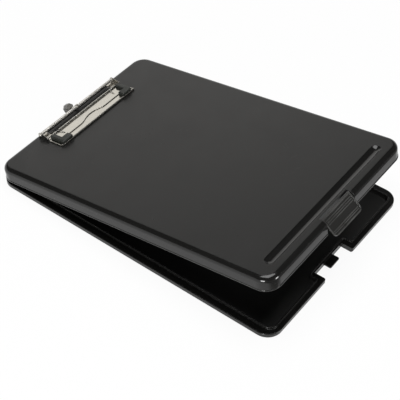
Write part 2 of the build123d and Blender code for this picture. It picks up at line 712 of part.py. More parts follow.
for side, side_name in sides:
    posts = [coil_point(half_turn * step, side) for step in range(half_count + 1)]
    with BuildPart() as clip_spring:
        with BuildLine() as wire_path:
            first_place, first_heading = posts[0]
            foot = first_place - first_heading * leg_length(spring_front_reach, front_drop)
            Line(foot, first_place)
            for (place, heading), (next_place, next_heading) in zip(posts, posts[1:]):
                middle, middle_heading = arc_pair(place, heading, next_place, next_heading)
                TangentArc(place, middle, tangent=heading)
                TangentArc(middle, next_place, tangent=middle_heading)
            last_place, last_heading = posts[-1]
            Line(last_place, last_place + last_heading * leg_length(spring_rear_reach, rear_drop))
        with BuildSketch(Plane(wire_path.line @ 0, z_dir=wire_path.line % 0)):
            RegularPolygon(wire_radius, wire_sides)
        sweep()
    steps = 40 * coil_turns
    spring_wire = wire_path.wires()[0]
    beads = [spring_wire @ (step / steps) for step in range(steps + 1)]
    apart = int(pi * coil_radius / (spring_wire.length / steps))  # beads in half a turn
    least = min(
        (beads[i] - beads[j]).length for i in range(steps + 1) for j in range(i + apart, steps + 1)
    )
    print(f"clip_spring_{side_name}: least gap to itself {least - 2 * wire_radius:.2f} mm")
    clip_spring.part.label = f"clip_spring_{side_name}"
    export_step(clip_spring.part, f"parts/clip_spring_{side_name}.step")

# ================================================================ hanger
# The stem leaves the rear rod just over the lid's rounded rear edge.
edge_distance = hypot(edge_centre_y - rod_y, rod_z - edge_centre_z)
edge_reach = lid_edge_radius + stem_radius + stem_clearance
stem_fall = atan2(rod_z - edge_centre_z, edge_centre_y - rod_y) - asin(edge_reach / edge_distance)
stem_dir = (0, cos(stem_fall), -sin(stem_fall))
stem_plane = on_lid(Plane(origin=(0, rod_y, rod_z), x_dir=(1, 0, 0), z_dir=stem_dir))
with BuildPart() as hanger_stem:
    with BuildSketch(on_lid(Plane.YZ.offset(-eye_width / 2))):
        with Locations((rod_y, rod_z)):
            Circle(eye_radius)
    extrude(amount=eye_width)
    with BuildSketch(stem_plane):
        Circle(stem_radius)
    extrude(amount=hanger_length - knob_height / 2 + stem_grip)
    with BuildSketch(on_lid(Plane.YZ.offset(-eye_width))):
        with Locations((rod_y, rod_z)):
            Circle(rod_radius + eye_fit)
    extrude(amount=2 * eye_width, mode=Mode.SUBTRACT)
hanger_stem.part.label = "hanger_stem"
export_step(hanger_stem.part, "parts/hanger_stem.step")

with BuildPart() as hanger_knob:
    with BuildSketch(stem_plane.offset(hanger_length - knob_height / 2)):
        Circle(knob_radius)
        with PolarLocations(knob_radius + 0.6 * knob_scallop, knob_lobes):
            Circle(knob_scallop, mode=Mode.SUBTRACT)
    extrude(amount=knob_height)
    stem_axis = Axis(stem_plane.origin, stem_plane.z_dir)
    chamfer(hanger_knob.edges().group_by(stem_axis)[-1], knob_bevel)
    with BuildSketch(stem_plane.offset(hanger_length - knob_height / 2 - 1)):
        Circle(stem_radius)
    extrude(amount=stem_grip + 1, mode=Mode.SUBTRACT)
hanger_knob.part.label = "hanger_knob"
export_step(hanger_knob.part, "parts/hanger_knob.step")
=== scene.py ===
# %% [markdown]
# # A storage clipboard box in Blender
# The object is a flat black document box. Its hinged lid is the writing board, with a pen groove,
# a nickel paper clip and a swinging latch, and it stands a little open. The exact shapes come from
# a CAD model that is loaded first and never moved. What is left for Blender is how things look:
# the room, the light, the finishes, and the soft or round shapes that a mesh does better.

# %% Load the CAD frame
import bpy
import bmesh
from math import asin, atan2, cos, hypot, pi, radians, sin, sqrt
from mathutils import Matrix, Vector


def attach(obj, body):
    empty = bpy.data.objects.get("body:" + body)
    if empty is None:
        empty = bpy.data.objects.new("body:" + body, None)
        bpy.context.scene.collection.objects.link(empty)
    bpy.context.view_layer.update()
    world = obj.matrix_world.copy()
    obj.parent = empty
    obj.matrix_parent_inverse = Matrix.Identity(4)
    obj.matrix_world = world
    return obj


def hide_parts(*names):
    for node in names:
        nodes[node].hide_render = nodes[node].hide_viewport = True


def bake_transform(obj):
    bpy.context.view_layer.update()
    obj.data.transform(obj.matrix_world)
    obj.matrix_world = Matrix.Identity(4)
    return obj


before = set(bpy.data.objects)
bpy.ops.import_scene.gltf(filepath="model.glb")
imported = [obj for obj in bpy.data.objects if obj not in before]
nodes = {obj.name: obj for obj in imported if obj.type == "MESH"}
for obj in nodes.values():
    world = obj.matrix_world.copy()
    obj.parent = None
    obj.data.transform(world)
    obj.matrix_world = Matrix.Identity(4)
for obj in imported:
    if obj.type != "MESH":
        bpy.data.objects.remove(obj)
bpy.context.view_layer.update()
print("CAD pieces:", ", ".join(sorted(nodes)))

# %% [markdown]
# ## The camera
# The box is seen from its latch end, from the left and from above, through a long lens, so that
# its long sides stay nearly parallel. A camera can be placed by an aim point, a distance and two
# angles, which are easier to reason about than a position and a turn. The camera's own axes are
# then built from those angles: back points from the aim point to the camera.

# %% Place the camera
aim_point = Vector((0.03052, 0.02061, -0.05154))
view_distance = 1.21628
azimuth, elevation, roll = radians(-53.924), radians(45.777), radians(1.317)

back = Vector((sin(azimuth) * cos(elevation), -cos(azimuth) * cos(elevation), sin(elevation)))
level_right = Vector((cos(azimuth), sin(azimuth), 0))
level_up = back.cross(level_right)
camera_right = level_right * cos(roll) + level_up * sin(roll)
camera_up = level_up * cos(roll) - level_right * sin(roll)

lens = bpy.data.cameras.new("photo_camera")
lens.sensor_fit = "HORIZONTAL"
lens.sensor_width = 36.0
lens.lens = 99.794
lens.clip_start, lens.clip_end = 0.05, 100.0
camera = bpy.data.objects.new("photo_camera", lens)
bpy.context.scene.collection.objects.link(camera)
camera.matrix_world = Matrix.Translation(aim_point + back * view_distance) @ Matrix(
    (camera_right, camera_up, back)
).transposed().to_4x4()
bpy.context.scene.camera = camera
print("camera stands at", [round(value, 3) for value in camera.matrix_world.translation])

# %% Plain colours, with no film look on top
bpy.context.scene.view_settings.view_transform = "Standard"
print("the view transform is", bpy.context.scene.view_settings.view_transform)

# %% [markdown]
# ## Short ways to build a node material
# A material here is a small graph: texture coordinates go into patterns, and patterns go into the
# colour, roughness and normal of one Principled shader. Joining sockets by hand takes three lines
# each, so six short helpers do it. They start a material, fill or join a socket, add any node, do
# arithmetic, stretch a value from one range to another, which is how a grey pattern gets its
# contrast, and make soft noise, the pattern that most of the finishes below begin with.

# %% Start a material
def new_finish(name):
    """A node material, its graph and its Principled shader."""
    material = bpy.data.materials.new(name)
    material.use_nodes = True
    tree = material.node_tree
    return material, tree, tree.nodes["Principled BSDF"]


# %% Add one node
def feed(tree, socket, value):
    """Joins the socket to another one, or sets its value."""
    if isinstance(value, bpy.types.NodeSocket):
        tree.links.new(value, socket)
    else:
        socket.default_value = value


def add_node(tree, kind, settings=(), **inputs):
    """A node of that kind, with its settings and its inputs by name."""
    node = tree.nodes.new(kind)
    for key, value in dict(settings).items():
        setattr(node, key, value)
    for key, value in inputs.items():
        feed(tree, node.inputs[key.replace("_", " ")], value)
    return node


# %% Arithmetic and contrast
def maths(tree, operation, *values):
    """The result of that operation on sockets or numbers."""
    node = add_node(tree, "ShaderNodeMath", {"operation": operation})
    for socket, value in zip(node.inputs, values):
        feed(tree, socket, value)
    return node.outputs[0]


def stretch(tree, value, low, high, new_low, new_high, smooth=False):
    """The value moved from one range to another, and held at its ends."""
    kind = "SMOOTHSTEP" if smooth else "LINEAR"
    node = add_node(tree, "ShaderNodeMapRange", {"interpolation_type": kind}, Value=value)
    ends = {"From Min": low, "From Max": high, "To Min": new_low, "To Max": new_high}
    for key, end in ends.items():
        feed(tree, node.inputs[key], end)
    return node.outputs["Result"]


def noise(tree, place, scale, detail=2.0, distortion=0.0):
    """A soft grey pattern with that many blots to the metre."""
    node = add_node(
        tree, "ShaderNodeTexNoise", Vector=place, Scale=scale, Detail=detail, Distortion=distortion
    )
    return node.outputs["Fac"]


print("material helpers are ready")

# %% [markdown]
# ## The floor
# Black things are photographed on white paper. The paper shines up into the low sides of the box
# and draws a pale line along each lower rim. One large plane is enough. Close to the box it is a
# matte surface that takes the shadow, lifted towards white where the camera or a mirror sees it,
# and further away it becomes an even white, out to the horizon. Light Path tells a ray that is
# seen from one that only carries light, so the lift doesn't light the box.

# %% The sheet of white paper
floor_half = 30.0

floor_mesh = bpy.data.meshes.new("studio_floor")
shape = bmesh.new()
bmesh.ops.create_grid(shape, x_segments=1, y_segments=1, size=floor_half)
shape.to_mesh(floor_mesh)
shape.free()
studio_floor = bpy.data.objects.new("studio_floor", floor_mesh)
bpy.context.scene.collection.objects.link(studio_floor)
print("the paper is", 2 * floor_half, "m wide")

# %% Its white finish
paper_tone = 0.9
floor_lift = 0.92
floor_near, floor_far = 0.35, 1.1

floor_paper, tree, shader = new_finish("white_paper")
shader.inputs["Base Color"].default_value = (paper_tone, paper_tone, paper_tone, 1)
shader.inputs["Roughness"].default_value = 0.9
shader.inputs["Specular IOR Level"].default_value = 0.1
place = add_node(tree, "ShaderNodeTexCoord").outputs["Object"]
distance = add_node(tree, "ShaderNodeVectorMath", {"operation": "LENGTH"})
tree.links.new(place, distance.inputs[0])
away = stretch(tree, distance.outputs["Value"], floor_near, floor_far, floor_lift, 1.0, smooth=True)
ray = add_node(tree, "ShaderNodeLightPath")
mirrored = maths(
    tree, "MAXIMUM", ray.outputs["Is Glossy Ray"], ray.outputs["Is Transmission Ray"]
)
seen = maths(tree, "MAXIMUM", ray.outputs["Is Camera Ray"], mirrored)
even_white = add_node(tree, "ShaderNodeEmission", Color=(1, 1, 1, 1), Strength=1.0)
lifted = add_node(tree, "ShaderNodeMixShader")
feed(tree, lifted.inputs[0], maths(tree, "MULTIPLY", away, seen))
feed(tree, lifted.inputs[1], shader.outputs[0])
feed(tree, lifted.inputs[2], even_white.outputs[0])
feed(tree, tree.nodes["Material Output"].inputs["Surface"], lifted.outputs[0])
floor_mesh.materials.append(floor_paper)
print("the floor is even white beyond", floor_far, "m")

# %% [markdown]
# ## The black card
# On a white table every upright face shines, and a black box looks grey. Photographers lay a black
# card in front of it, outside the picture, so that the rounded front shoulder and the top of the
# skirt mirror black, and only the bottom of the skirt mirrors white paper. A thin sheet just over
# the paper does that. It is hidden from the camera and casts no shadow, and its near edge fades
# out over a few centimetres, because a real card's edge is out of focus in a curved mirror.

# %% A card that only mirrors see
card_centre = (0.3, -0.81, 0.012)
card_width, card_depth = 3.0, 1.2

card_mesh = bpy.data.meshes.new("black_card")
shape = bmesh.new()
card_corners = bmesh.ops.create_grid(shape, x_segments=1, y_segments=1, size=0.5)["verts"]
bmesh.ops.scale(shape, verts=card_corners, vec=(card_width, card_depth, 1.0))
bmesh.ops.translate(shape, verts=card_corners, vec=card_centre)
shape.to_mesh(card_mesh)
shape.free()
black_card = bpy.data.objects.new("black_card", card_mesh)
bpy.context.scene.collection.objects.link(black_card)
black_card.visible_camera = False
black_card.visible_diffuse = False
black_card.visible_shadow = False
print("the card is", card_width, "x", card_depth, "m")

# %% Its finish, clear at the near edge
card_clear, card_black = -0.212, -0.245
card_cover = 0.85

card_paper, tree, shader = new_finish("black_card")
shader.inputs["Base Color"].default_value = (0.01, 0.01, 0.01, 1)
shader.inputs["Roughness"].default_value = 0.9
place = add_node(tree, "ShaderNodeTexCoord").outputs["Object"]
place_y = add_node(tree, "ShaderNodeSeparateXYZ", Vector=place).outputs["Y"]
cover = stretch(tree, place_y, card_black, card_clear, card_cover, 0.0)
feed(tree, shader.inputs["Alpha"], cover)
card_mesh.materials.append(card_paper)
print("the card is black beyond y =", card_black, "m")

# %% [markdown]
# ## The sky
# What a glossy black edge shows is the room. The room is white low down behind the box, dark
# overhead, and dark on the side where the camera stands. That dark front is what gives the rounded
# front shoulder of the lid its black line between the grey board and the pale rim. The sky's
# colour depends only on the direction: its height sets the white band, and its y the dark side.

# %% A sky with a low white band
sky_dark, sky_white = 0.09, 1.0
band_top, band_end = 0.06, 0.22
dark_until, white_from = -0.5, 0.1

sky = bpy.data.worlds.new("studio")
sky.use_nodes = True
bpy.context.scene.world = sky
tree = sky.node_tree
direction = add_node(tree, "ShaderNodeTexCoord").outputs["Generated"]
split = add_node(tree, "ShaderNodeSeparateXYZ", Vector=direction)
band = stretch(tree, split.outputs["Z"], band_top, band_end, sky_white - sky_dark, 0.0, smooth=True)
behind = stretch(tree, split.outputs["Y"], dark_until, white_from, 0.0, 1.0, smooth=True)
glow = maths(tree, "MULTIPLY_ADD", band, behind, sky_dark)
feed(tree, tree.nodes["Background"].inputs["Color"], glow)
print("the sky goes from", sky_white, "at the horizon behind to", sky_dark)

# %% [markdown]
# ## The lamps
# A lamp has two jobs on a black object: to light it, and to be seen in it. The wide soft box low
# behind is what the flat board and the nickel clip mirror towards the camera. The lamp straight
# above lights the paper and gives every colour its level, and no flat face mirrors it towards the
# camera. Two small strong ones, far out at either side of the camera, make the two hard points of
# light on the rounded front corner. An area lamp's power is its glow times four times its area.

# %% A soft box by direction
def soft_box(name, towards, away, width, height, glow, colour=(1.0, 1.0, 1.0)):
    """An area lamp at that distance in that direction, facing the box."""
    lamp = bpy.data.lights.new(name, "AREA")
    lamp.color = colour
    lamp.shape = "RECTANGLE"
    lamp.size, lamp.size_y = width, height
    lamp.energy = glow * 4 * width * height
    stand = bpy.data.objects.new(name, lamp)
    bpy.context.scene.collection.objects.link(stand)
    stand.visible_camera = False
    towards = Vector(towards).normalized()
    turn = towards.to_track_quat("Z", "Y")
    stand.matrix_world = Matrix.Translation(towards * away) @ turn.to_matrix().to_4x4()
    print(name, "stands", away, "m away and gives", round(lamp.energy, 2), "W")


# %% Four soft boxes
soft_box("back_soft_box", (0.568, 0.619, 0.375), 1.8, 1.5, 0.95, 0.8, (1.0, 0.985, 0.95))
soft_box("top_soft_box", (0.0, 0.0, 1.0), 1.7, 1.3, 1.3, 4.0)
soft_box("left_point", (-0.93, -0.3, 0.13), 1.6, 0.55, 0.5, 16.0)
soft_box("front_point", (0.12, -0.97, 0.1), 1.6, 0.45, 0.5, 16.0)

# %% [markdown]
# ## Two places that patterns need
# Some finishes follow the lid: its top is grained and its rounded shoulder is smooth. The lid
# stands open, so "how high on the lid" isn't the z of the room. A Mapping node turns the object's
# coordinates back to the closed box. A second helper finds edges: the Bevel node gives a softened
# normal, and where that differs from the true one, there is an edge. Handling polishes edges, so
# that mask makes them glossier and a touch paler.

# %% The lid's own coordinates
lid_opening = radians(9.8)
hinge = Vector((0.0, 0.170, 0.0083))
close_lid = Matrix.Rotation(lid_opening, 3, "X")
tip_lid = Matrix.Rotation(-lid_opening, 4, "X")
open_lid = Matrix.Translation(hinge) @ tip_lid @ Matrix.Translation(-hinge)


def closed_place(tree, place):
    """The place on the closed box of a point of the open lid."""
    node = add_node(tree, "ShaderNodeMapping", Vector=place)
    node.inputs["Rotation"].default_value = (lid_opening, 0, 0)
    node.inputs["Location"].default_value = hinge - close_lid @ hinge
    return node.outputs["Vector"]


def height_of(tree, place):
    """The z of a place."""
    return add_node(tree, "ShaderNodeSeparateXYZ", Vector=place).outputs["Z"]


print("the lid turns back by", round(lid_opening, 4), "rad about", tuple(hinge))

# %% A mask for edges
edge_full, edge_none = 0.86, 0.99


def edges(tree, radius):
    """A mask that is 1 along edges, and the softened normal that it comes from."""
    soft = add_node(tree, "ShaderNodeBevel", {"samples": 6}, Radius=radius).outputs["Normal"]
    true = add_node(tree, "ShaderNodeNewGeometry").outputs["True Normal"]
    same = add_node(tree, "ShaderNodeVectorMath", {"operation": "DOT_PRODUCT"})
    feed(tree, same.inputs[0], soft)
    feed(tree, same.inputs[1], true)
    mask = stretch(tree, same.outputs["Value"], edge_full, edge_none, 1.0, 0.0, smooth=True)
    return mask, soft


# %% [markdown]
# ## Black moulded plastic
# The lid, the tray and the latch are moulded in one black plastic, but the mould is not the same
# everywhere. Broad faces that get scratched are spark-eroded to a fine grain, and edges, walls
# and ledges are polished. So one recipe takes a mask that says where the grain is. Under it lie
# broad clouds in the gloss, as from hands, and long fine scratches from paper and pens, drawn by
# a noise pattern that is stretched until its blots become lines.

# %% Long fine scratches
scratch_blots, scratch_length = 900.0, 90.0
scratch_start, scratch_full = 0.74, 0.78


def scratches(tree, place, turn, thickness):
    """Thin lines, 1 on the line: stretched noise of which only the peaks are kept."""
    turned = add_node(tree, "ShaderNodeMapping", {"vector_type": "TEXTURE"}, Vector=place)
    turned.inputs["Rotation"].default_value = (0, 0, radians(turn))
    turned.inputs["Scale"].default_value = (1.0, scratch_length, 1.0)
    lines = noise(tree, turned.outputs["Vector"], scratch_blots, 1.0)
    return stretch(tree, lines, scratch_start - thickness, scratch_full, 0, 1)


# %% The recipe
cloud_blots, grain_blots = 28.0, 1500.0
cloud_gloss, edge_gloss = 0.035, -0.07
wear_and_highlight_share, grain_share = 0.6, 0.08
grain_depth = 0.00004


def moulded_black(
    name, tone, smooth, grained, where, scuffed=0.0, painted_highlight=None, paler=6.0, edge_radius=0.0005
):
    """Black plastic: roughness smooth or grained, as the mask of where says; an optional extra mask
    adds painted highlights, a paler and glossier band, on top of edge wear.
    """
    material, tree, shader = new_finish(name)
    place = add_node(tree, "ShaderNodeTexCoord").outputs["Object"]
    grain_mask = where(tree, place)
    edge, soft = edges(tree, edge_radius)
    # The optional extra mask is a painted highlight: it joins the edge mask, so the colour there is
    # painted paler.
    if painted_highlight:
        edge = maths(tree, "MAXIMUM", edge, painted_highlight(tree, place))
    clouds = noise(tree, place, cloud_blots, 3.0, 0.4)
    grain = noise(tree, place, grain_blots, 2.0)

    gloss = stretch(tree, grain_mask, 0.0, 1.0, smooth, grained)
    hands = stretch(tree, clouds, 0.3, 0.7, -cloud_gloss, cloud_gloss)
    gloss = maths(tree, "ADD", gloss, hands)
    gloss = maths(tree, "MULTIPLY_ADD", edge, edge_gloss, gloss)
    # This paler tint is edge wear and scratches, and also the painted highlights of the extra mask.
    wear_and_highlight = maths(tree, "MULTIPLY", edge, stretch(tree, clouds, 0.35, 0.65, 0.3, 1.0))
    if scuffed:
        one_way, other_way = scratches(tree, place, 62, 0.02), scratches(tree, place, -24, 0.0)
        lines = maths(tree, "MAXIMUM", one_way, other_way)
        used_most = stretch(tree, noise(tree, place, 16.0), 0.42, 0.62, 0.1, 1)
        lines = maths(tree, "MULTIPLY", lines, used_most)
        lines = maths(tree, "MULTIPLY", lines, grain_mask)
        gloss = maths(tree, "MULTIPLY_ADD", lines, -scuffed, gloss)
        wear_and_highlight = maths(tree, "MAXIMUM", wear_and_highlight, lines)
    feed(tree, shader.inputs["Roughness"], gloss)
    speckle = maths(tree, "MULTIPLY", grain, grain_share)
    tint = add_node(tree, "ShaderNodeMix", {"data_type": "RGBA"})
    feed(tree, tint.inputs["Factor"], maths(tree, "MULTIPLY_ADD", wear_and_highlight, wear_and_highlight_share, speckle))
    tint.inputs["A"].default_value = (tone, tone * 0.97, tone * 0.9, 1)
    tint.inputs["B"].default_value = (tone * paler, tone * paler, tone * paler * 0.96, 1)
    feed(tree, shader.inputs["Base Color"], tint.outputs["Result"])
    shader.inputs["Specular IOR Level"].default_value = 0.42

    pits = maths(tree, "MULTIPLY", grain, stretch(tree, grain_mask, 0.0, 1.0, 0.15, 1.0))
    bump = add_node(
        tree, "ShaderNodeBump", Strength=0.22, Distance=grain_depth, Height=pits, Normal=soft
    )
    feed(tree, shader.inputs["Normal"], bump.outputs["Normal"])
    print(name, "has", len(tree.nodes), "nodes")
    return material


# %% [markdown]
# ## Where grain, wear and painted highlights lie
# A mask for a mould's grain could be painted, but the borders here lie at plain heights: the board
# is the highest face of the lid, the bead the lowest, and the tray's floor lies below its walls.
# So each mask is one coordinate compared with a height, on the closed box or along the latch's
# own plate, and it follows the piece into every pose, since it is read in the piece's own space.

# %% Masks of the lid
top_none, top_full = 0.02185, 0.02197
pocket_half, pocket_rear = 0.0243, -0.1613
rim_full, rim_none = 0.0076, 0.0082


def board_top(tree, place):
    """The flat top of the lid, above 21.9 mm on the closed box, and the pocket of the latch."""
    closed = add_node(tree, "ShaderNodeSeparateXYZ", Vector=closed_place(tree, place))
    top = stretch(tree, closed.outputs["Z"], top_none, top_full, 0.0, 1.0)
    beside = maths(tree, "LESS_THAN", maths(tree, "ABSOLUTE", closed.outputs["X"]), pocket_half)
    ahead = maths(tree, "LESS_THAN", closed.outputs["Y"], pocket_rear)
    return maths(tree, "MAXIMUM", top, maths(tree, "MULTIPLY", beside, ahead))


def lid_rim_highlight(tree, place):
    """The bead round the bottom of the lid's skirt, where a paler tint paints the highlight of the
    white paper that it mirrors.
    """
    return stretch(tree, height_of(tree, closed_place(tree, place)), rim_full, rim_none, 1.0, 0.0)


print("the board is grained above", 1000 * top_full, "mm")

# %% Masks of the latch and the tray
latch_turn = radians(36.0)
latch_axis = open_lid @ Vector((0.0, -0.1646, 0.0204))
ridge_none, ridge_full = 0.00115, 0.0014
floor_full, floor_none = 0.0019, 0.0026


def latch_ridge_highlights(tree, place):
    """The ridges and the rim of the latch, more than 1.2 mm in front of its axis, where a paler tint
    paints their highlights.
    """
    node = add_node(tree, "ShaderNodeMapping", Vector=place)
    node.inputs["Rotation"].default_value = (-latch_turn, 0, 0)
    node.inputs["Location"].default_value = -(Matrix.Rotation(-latch_turn, 3, "X") @ latch_axis)
    height = height_of(tree, node.outputs["Vector"])
    return stretch(tree, height, ridge_none, ridge_full, 0.0, 1.0)


def tray_floor(tree, place):
    """The tray's floor, inside, below 2.2 mm."""
    return stretch(tree, height_of(tree, place), floor_full, floor_none, 1.0, 0.0)


def patches(tree, place):
    """A light grain everywhere, a little uneven."""
    return stretch(tree, noise(tree, place, 60.0), 0.3, 0.7, 0.2, 0.6)


print("the latch turns about", [round(value, 4) for value in latch_axis])

# %% Three black plastics
# On the lid, the bead's mask joins the edge mask: the bead is painted paler (paler 8) and glossier, a
# painted highlight for the pale line along the lower rim.
lid_black = moulded_black(
    "lid_black_plastic", 0.0048, 0.15, 0.38, board_top, scuffed=0.12, painted_highlight=lid_rim_highlight, paler=8.0
)
tray_black = moulded_black("tray_black_plastic", 0.0044, 0.22, 0.5, tray_floor)
# The latch is the lid's plastic, but its tone is more than twice the lid's: painted light, for light
# that its plate would mirror. Its ridges and rim are painted paler (paler 9) as painted highlights.
latch_black = moulded_black(
    "latch_black_plastic", 0.0115, 0.26, 0.38, patches, painted_highlight=latch_ridge_highlights, paler=9.0,
    edge_radius=0.0003,
)

# %% [markdown]
# ## Nickel plate and steel
# The clip's plate and jaw are stamped from bright nickel-plated sheet. Rolling leaves fine lines
# along the sheet, here along x, and hands leave dull smudges. The plating is thin and soft, so
# the folded and cut edges are rubbed a little brighter. A metal has no diffuse colour: its base
# colour is the colour of its mirror. The lines change the roughness most, tint that colour a
# little, and lie in a very low bump.

# %% The recipe for rolled or drawn metal
line_blots, smudge_blots = 1900.0, 75.0
line_depth = 0.00002
darker, lighter = 0.94, 1.06


def rolled_metal(name, colour, gloss, streak, smudge=0.1, along=(0.03, 1.0, 1.0), edge_radius=0.0003):
    """Metal with lines along one direction: streak is how much they change the roughness."""
    material, tree, shader = new_finish(name)
    place = add_node(tree, "ShaderNodeTexCoord").outputs["Object"]
    drawn = add_node(tree, "ShaderNodeMapping", Vector=place, Scale=along).outputs["Vector"]
    lines = noise(tree, drawn, line_blots, 3.0)
    hands = stretch(tree, noise(tree, place, smudge_blots, 3.0, 0.6), 0.45, 0.75, 0.0, smudge)
    edge, soft = edges(tree, edge_radius)
    rough = maths(tree, "MULTIPLY_ADD", lines, streak, gloss - streak / 2)
    rough = maths(tree, "ADD", rough, hands)
    rough = maths(tree, "MULTIPLY_ADD", edge, -0.05, rough)
    feed(tree, shader.inputs["Roughness"], rough)
    tint = add_node(tree, "ShaderNodeMix", {"data_type": "RGBA"})
    bright_lines = stretch(tree, lines, 0.35, 0.65, 0, 0.6)
    feed(tree, tint.inputs["Factor"], maths(tree, "MAXIMUM", edge, bright_lines))
    tint.inputs["A"].default_value = (*(darker * part for part in colour), 1)
    tint.inputs["B"].default_value = (*(min(1.0, lighter * part) for part in colour), 1)
    feed(tree, shader.inputs["Base Color"], tint.outputs["Result"])
    shader.inputs["Metallic"].default_value = 1.0
    bump = add_node(
        tree, "ShaderNodeBump", Strength=0.12, Distance=line_depth, Height=lines, Normal=soft
    )
    feed(tree, shader.inputs["Normal"], bump.outputs["Normal"])
    print(name, "has", len(tree.nodes), "nodes")
    return material


# %% Five metals
nickel = rolled_metal("nickel_plate", (0.57, 0.55, 0.505), 0.2, 0.12)
rod_nickel = rolled_metal("rod_nickel", (0.66, 0.64, 0.6), 0.36, 0.12)
spring_steel = rolled_metal("spring_wire", (0.5, 0.49, 0.46), 0.24, 0.1, along=(1.0, 1.0, 1.0))
pin_steel = rolled_metal("pin_steel", (0.5, 0.49, 0.47), 0.22, 0.1)
# The jaw's pin gets a near-black base colour, far darker than the other steel.
dark_steel = rolled_metal("dark_pin_steel", (0.1, 0.1, 0.1), 0.3, 0.1)

# %% [markdown]
# ## Rubber and the grey knob
# The caps are soft rubber, dull and slightly green in its black, with paper dust caught in it.
# The knob is a mottled grey plastic, as from regrind. Both are flecks in a base: one noise makes
# broad blots, and a finer one the flecks, and the finer one also roughens the surface.

# %% The recipe for flecked materials
fleck_depth = 0.00006


def flecked(name, base, fleck, gloss, blots, flecks, bump_strength):
    """A dull material of two colours: base, and fleck in small spots."""
    material, tree, shader = new_finish(name)
    place = add_node(tree, "ShaderNodeTexCoord").outputs["Object"]
    broad = noise(tree, place, blots, 3.0)
    fine = noise(tree, place, flecks, 2.0)
    edge, soft = edges(tree, 0.0003)
    blot_mask = stretch(tree, broad, 0.3, 0.7, 0.2, 1.0)
    spots = maths(tree, "MULTIPLY", blot_mask, stretch(tree, fine, 0.4, 0.7, 0, 1))
    tint = add_node(tree, "ShaderNodeMix", {"data_type": "RGBA"})
    feed(tree, tint.inputs["Factor"], maths(tree, "MULTIPLY_ADD", edge, 0.25, spots))
    tint.inputs["A"].default_value = (*base, 1)
    tint.inputs["B"].default_value = (*fleck, 1)
    feed(tree, shader.inputs["Base Color"], tint.outputs["Result"])
    rough = stretch(tree, broad, 0.3, 0.7, gloss - 0.05, gloss + 0.05)
    feed(tree, shader.inputs["Roughness"], rough)
    bump = add_node(tree, "ShaderNodeBump", Distance=fleck_depth, Height=fine, Normal=soft)
    bump.inputs["Strength"].default_value = bump_strength
    feed(tree, shader.inputs["Normal"], bump.outputs["Normal"])
    print(name, "has", len(tree.nodes), "nodes")
    return material


# %% Rubber and knob
rubber_black = flecked(
    "grip_rubber", (0.006, 0.007, 0.0055), (0.03, 0.034, 0.026), 0.5, 140.0, 1500.0, 0.15
)
knob_grey = flecked(
    "knob_grey_plastic", (0.15, 0.145, 0.135), (0.3, 0.29, 0.27), 0.42, 160.0, 700.0, 0.2
)

# %% [markdown]
# ## The finish of each CAD piece
# A CAD piece keeps its mesh, and only its material slot changes. A table from piece to finish
# covers the special ones, and every other piece is a plain steel pin, rivet or washer.

# %% Give each CAD piece its finish
finish_of = {
    "base_tray": tray_black,
    "lid_shell": lid_black,
    "latch_tab": latch_black,
    "grip_corner_left": rubber_black,
    "grip_corner_right": rubber_black,
    "hanger_knob": knob_grey,
    "hanger_stem": nickel,
    "clip_base_plate": nickel,
    "clip_jaw": nickel,
    "clip_rear_rod": rod_nickel,
    "clip_jaw_pin": dark_steel,
    "clip_spring_left": spring_steel,
    "clip_spring_right": spring_steel,
}
for name, piece in nodes.items():
    piece.data.materials.clear()
    piece.data.materials.append(finish_of.get(name, pin_steel))
plain_pieces = len(nodes) - len(finish_of)
print(len(finish_of), "pieces have a finish of their own,", plain_pieces, "are plain steel")

# %% [markdown]
# ## New pieces on the open lid
# The clip's rubber caps, springs and knob are drawn on the closed box in millimetres, where their
# sides are square to the axes, and then tipped with the lid. One helper does that last step for
# all: it scales to metres, tips, turns all faces outwards, smooths what isn't a sharp edge, hangs
# the piece on its body if it has one, and hides the CAD piece that the new one stands for.

# %% Finish a piece of the lid
def put_on_lid(name, shape, body, node_name, finish, sharp=35.0):
    """Makes the object from a shape in closed-box millimetres, in place of a CAD piece.
    A piece that no single body carries is given None and is hung on no body."""
    bmesh.ops.remove_doubles(shape, verts=shape.verts, dist=0.001)
    bmesh.ops.recalc_face_normals(shape, faces=shape.faces)
    bmesh.ops.transform(shape, matrix=open_lid @ Matrix.Scale(0.001, 4), verts=shape.verts)
    for face in shape.faces:
        face.smooth = True
    mesh = bpy.data.meshes.new(name)
    shape.to_mesh(mesh)
    open_edges = sum(1 for edge in shape.edges if not edge.is_manifold)
    shape.free()
    mesh.set_sharp_from_angle(angle=radians(sharp))
    mesh.materials.append(finish)
    piece = bpy.data.objects.new(name, mesh)
    bpy.context.scene.collection.objects.link(piece)
    if body:
        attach(piece, body)
    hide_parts(node_name)
    print(name, "has", len(mesh.polygons), "faces,", open_edges, "open edges")
    return piece


# %% [markdown]
# ## Rubber caps
# Each front corner of the jaw wears a moulded rubber cap, an L that grips paper without marking
# it. Rubber has no sharp edges: the outer corner is round in plan, and the top rolls over softly.
# The CAD's plain chamfer reads as hard plastic. Here the L starts as one face, its corners are
# rounded by a vertex bevel, it is extruded upwards, and its upper edges get a bevel of several
# segments. Last, its front is lifted to clear the rolled edge of the plate below.

# %% Sizes of a cap
cap_inner, cap_outer, cap_arm_inner = 41.0, 55.6, 49.8
cap_front, cap_step, cap_rear = 131.2, 139.4, 151.3
cap_bottom, cap_top = 23.1, 27.1
cap_corner_round, cap_end_round, cap_top_round = 2.9, 1.4, 1.35
plate_bead_end, plate_bead_top = 133.4, 24.55
print("a cap is", round(cap_outer - cap_inner, 1), "x", round(cap_rear - cap_front, 1), "mm")


